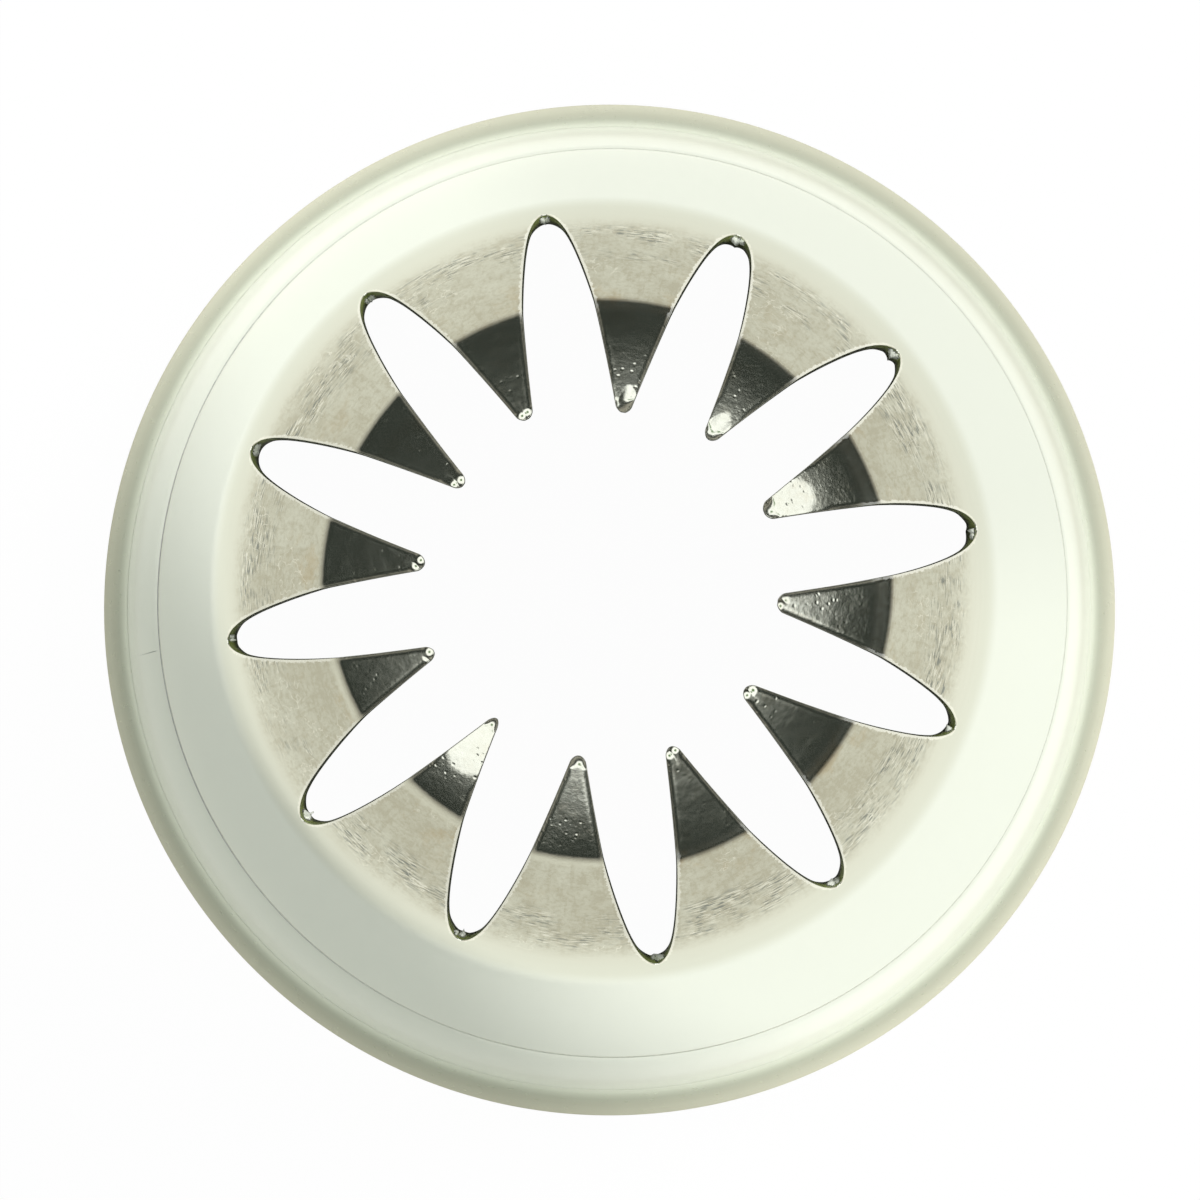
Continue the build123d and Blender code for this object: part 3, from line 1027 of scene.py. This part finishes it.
def rim_steel():
    """Satin ring, beige at its edge, with painted shade, grey-green and darkest, where it runs up to the
    collar.
    """
    material, nodes, shader = new_material("rim_steel")
    place, _, z, climb, turn = surface_coordinates(nodes)
    # Painted shade: the ramp darkens the rim in the valley where it runs into the collar.
    colour = nodes.colour_ramp(nodes.math("DIVIDE", z, RIM_TOP), RIM_TONES_AND_VALLEY_SHADE)
    marks = nodes.ramp(streaks(nodes, turn, climb, 5.0, 9.0, 3.0), 0.35, 0.75)
    colour = nodes.blend(nodes.math("MULTIPLY", marks, 0.10), colour, RIM_MARKS)
    nodes.link(colour, shader.inputs["Base Color"])
    shader.inputs["Metallic"].default_value = 1.0
    grain = nodes.noise(place, 5.0, 3.0, 0.6)
    rough = nodes.math("ADD", SATIN_ROUGHNESS, nodes.math("MULTIPLY", grain, 0.04))
    nodes.link(rough, shader.inputs["Roughness"])
    return material


def dress(obj, node, material):
    """Gives a piece its material and puts it in the place of its CAD node."""
    obj.data.materials.append(material)
    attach(obj, "root")
    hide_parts(node)


def make_camera():
    """Camera at the photograph's place, aimed so that the base's centre meets its pixel."""
    data = bpy.data.cameras.new("photo_camera")
    data.sensor_width = 36
    data.lens = data.sensor_width * FOCAL_PIXELS / PHOTO_SIDE
    camera = bpy.data.objects.new("photo_camera", data)
    bpy.context.scene.collection.objects.link(camera)
    place = Vector(CAMERA_PLACE)
    pixel = place.length / FOCAL_PIXELS
    middle = PHOTO_SIDE / 2
    aim = Vector(((middle - BASE_CENTRE_PIXEL[0]) * pixel, (BASE_CENTRE_PIXEL[1] - middle) * pixel, 0))
    back = (place - aim).normalized()
    right = Vector((0, 1, 0)).cross(back).normalized()
    up = back.cross(right)
    matrix = camera.matrix_world.copy()
    for row in range(3):
        matrix[row][0], matrix[row][1], matrix[row][2] = right[row], up[row], back[row]
        matrix[row][3] = place[row] * MM
    camera.matrix_world = matrix
    data.clip_start, data.clip_end = 1 * MM, 5000 * MM
    bpy.context.scene.camera = camera


# Studio: what camera rays, reflections and soft light each see
FLOOR_HALF_SIDE = 900.0
BACKGROUND_WHITE = (1.0, 1.0, 1.0)
SHADOW_SHARE = 0.025
FLOOR_PAINT = (0.9, 0.9, 0.9)
# Floor's colour to all rays but the camera's, painted light and shade, at distances from the axis as shares
# of
# FLOOR_TINT_REACH. It starts above 1, which no real floor does, to light the rim's foot, and dims farther
# out.
FLOOR_TINT_REACH = 100.0
FLOOR_LIGHT_AND_SHADE = (
    (0.123, (1.25, 1.25, 1.16)),
    (0.128, (0.94, 0.955, 0.87)),
    (0.140, (0.945, 0.96, 0.875)),
    (0.220, (0.83, 0.825, 0.715)),
    (0.330, (0.83, 0.81, 0.70)),
    (0.550, (0.665, 0.64, 0.535)),
    (0.900, (0.555, 0.53, 0.44)),
)
# Painted shade: the floor dimmer towards this turn, by this share, to all rays but the camera's
FLOOR_SHADE_TURN = 54
FLOOR_SHADE_SHARE = 0.08
SOFT_LIGHT = 0.69
SOFT_COLOUR = (0.955, 1.0, 0.99)
KEY_TURN = 37.5
KEY_SLOPE = 50
KEY_DISTANCE = 900
KEY_SIZE = 430
KEY_POWER = 5.7
# Reflected surroundings: sine of the height above level, and colour
SURROUNDINGS = (
    (0.00, (0.46, 0.44, 0.36)),
    (0.25, (0.30, 0.29, 0.24)),
    (0.42, (0.035, 0.040, 0.032)),
    (0.58, (0.020, 0.026, 0.019)),
    (0.63, (0.030, 0.036, 0.027)),
    (0.67, (0.055, 0.062, 0.048)),
    (0.695, (0.12, 0.13, 0.10)),
    (0.712, (0.26, 0.27, 0.21)),
    (0.732, (1.35, 1.37, 1.28)),
    (0.955, (1.35, 1.37, 1.28)),
    (0.975, (0.10, 0.22, 0.05)),
)


def make_floor():
    """Pale floor: white to the camera but for a soft shadow, and to other rays painted light and shade by
    distance and side.
    """
    mesh = MeshBuilder()
    s = FLOOR_HALF_SIDE
    mesh.faces.append(tuple(mesh.add([(-s, -s, 0), (s, -s, 0), (s, s, 0), (-s, s, 0)])))
    floor = mesh.build("floor")
    material, nodes, shader = new_material("floor_white")
    nodes.tree.nodes.remove(shader)
    _, radius, _, _, turn = surface_coordinates(nodes)
    paths = nodes.add("ShaderNodeLightPath")
    tint = nodes.colour_ramp(nodes.math("DIVIDE", radius, FLOOR_TINT_REACH), FLOOR_LIGHT_AND_SHADE)
    # Painted shade on one side of the floor.
    side_shade = nodes.math("MULTIPLY", nodes.ramp(facing(nodes, turn, FLOOR_SHADE_TURN), 0.5, 0.8), FLOOR_SHADE_SHARE)
    reflected = nodes.add("ShaderNodeBsdfDiffuse")
    nodes.link(nodes.blend(side_shade, tint, (0.0, 0.0, 0.0)), reflected.inputs["Color"])
    seen = nodes.add("ShaderNodeBsdfDiffuse")
    seen.inputs["Color"].default_value = (*FLOOR_PAINT, 1)
    glow = nodes.add("ShaderNodeEmission")
    glow.inputs["Color"].default_value = (*BACKGROUND_WHITE, 1)
    mostly_white = nodes.add("ShaderNodeMixShader")
    mostly_white.inputs["Fac"].default_value = SHADOW_SHARE
    nodes.link(glow.outputs[0], mostly_white.inputs[1])
    nodes.link(seen.outputs[0], mostly_white.inputs[2])
    choice = nodes.add("ShaderNodeMixShader")
    nodes.link(paths.outputs["Is Camera Ray"], choice.inputs["Fac"])
    nodes.link(reflected.outputs[0], choice.inputs[1])
    nodes.link(mostly_white.outputs[0], choice.inputs[2])
    nodes.link(choice.outputs[0], nodes.tree.nodes["Material Output"].inputs["Surface"])
    floor.data.materials.append(material)


def make_world():
    """White to the camera, even soft light on the floor, and a studio to reflect in the steel."""
    world = bpy.data.worlds.new("studio")
    bpy.context.scene.world = world
    world.use_nodes = True
    nodes = Nodes(world.node_tree)
    soft = world.node_tree.nodes["Background"]
    soft.inputs["Color"].default_value = (*SOFT_COLOUR, 1)
    soft.inputs["Strength"].default_value = SOFT_LIGHT
    direction = nodes.add("ShaderNodeSeparateXYZ")
    nodes.link(nodes.add("ShaderNodeTexCoord").outputs["Generated"], direction.inputs[0])
    mirrored = nodes.add("ShaderNodeBackground")
    nodes.link(nodes.colour_ramp(direction.outputs["Z"], SURROUNDINGS), mirrored.inputs["Color"])
    white = nodes.add("ShaderNodeBackground")
    white.inputs["Color"].default_value = (*BACKGROUND_WHITE, 1)
    paths = nodes.add("ShaderNodeLightPath")
    first, second = nodes.add("ShaderNodeMixShader"), nodes.add("ShaderNodeMixShader")
    nodes.link(paths.outputs["Is Glossy Ray"], first.inputs["Fac"])
    nodes.link(soft.outputs[0], first.inputs[1])
    nodes.link(mirrored.outputs[0], first.inputs[2])
    nodes.link(paths.outputs["Is Camera Ray"], second.inputs["Fac"])
    nodes.link(first.outputs[0], second.inputs[1])
    nodes.link(white.outputs[0], second.inputs[2])
    nodes.link(second.outputs[0], world.node_tree.nodes["World Output"].inputs["Surface"])


def make_key_light():
    """Soft lamp at the upper right, whose shadow falls to the lower left."""
    data = bpy.data.lights.new("key", "AREA")
    data.shape = "DISK"
    data.size = KEY_SIZE * MM
    data.energy = KEY_POWER
    light = bpy.data.objects.new("key", data)
    bpy.context.scene.collection.objects.link(light)
    turn, slope = math.radians(KEY_TURN), math.radians(KEY_SLOPE)
    level = math.cos(slope)
    place = Vector((level * math.cos(turn), level * math.sin(turn), math.sin(slope))) * KEY_DISTANCE
    light.location = place * MM
    light.rotation_euler = (-place).to_track_quat("-Z", "Y").to_euler()
    light.visible_camera = False
    light.visible_glossy = False


make_camera()
make_floor()
make_world()
make_key_light()
dress(make_cone(), "cone_shell", cone_steel())
dress(make_collar(), "base_collar", collar_steel())
dress(make_rim(), "rim_ring", rim_steel())
bpy.context.scene.view_settings.view_transform = "Standard"
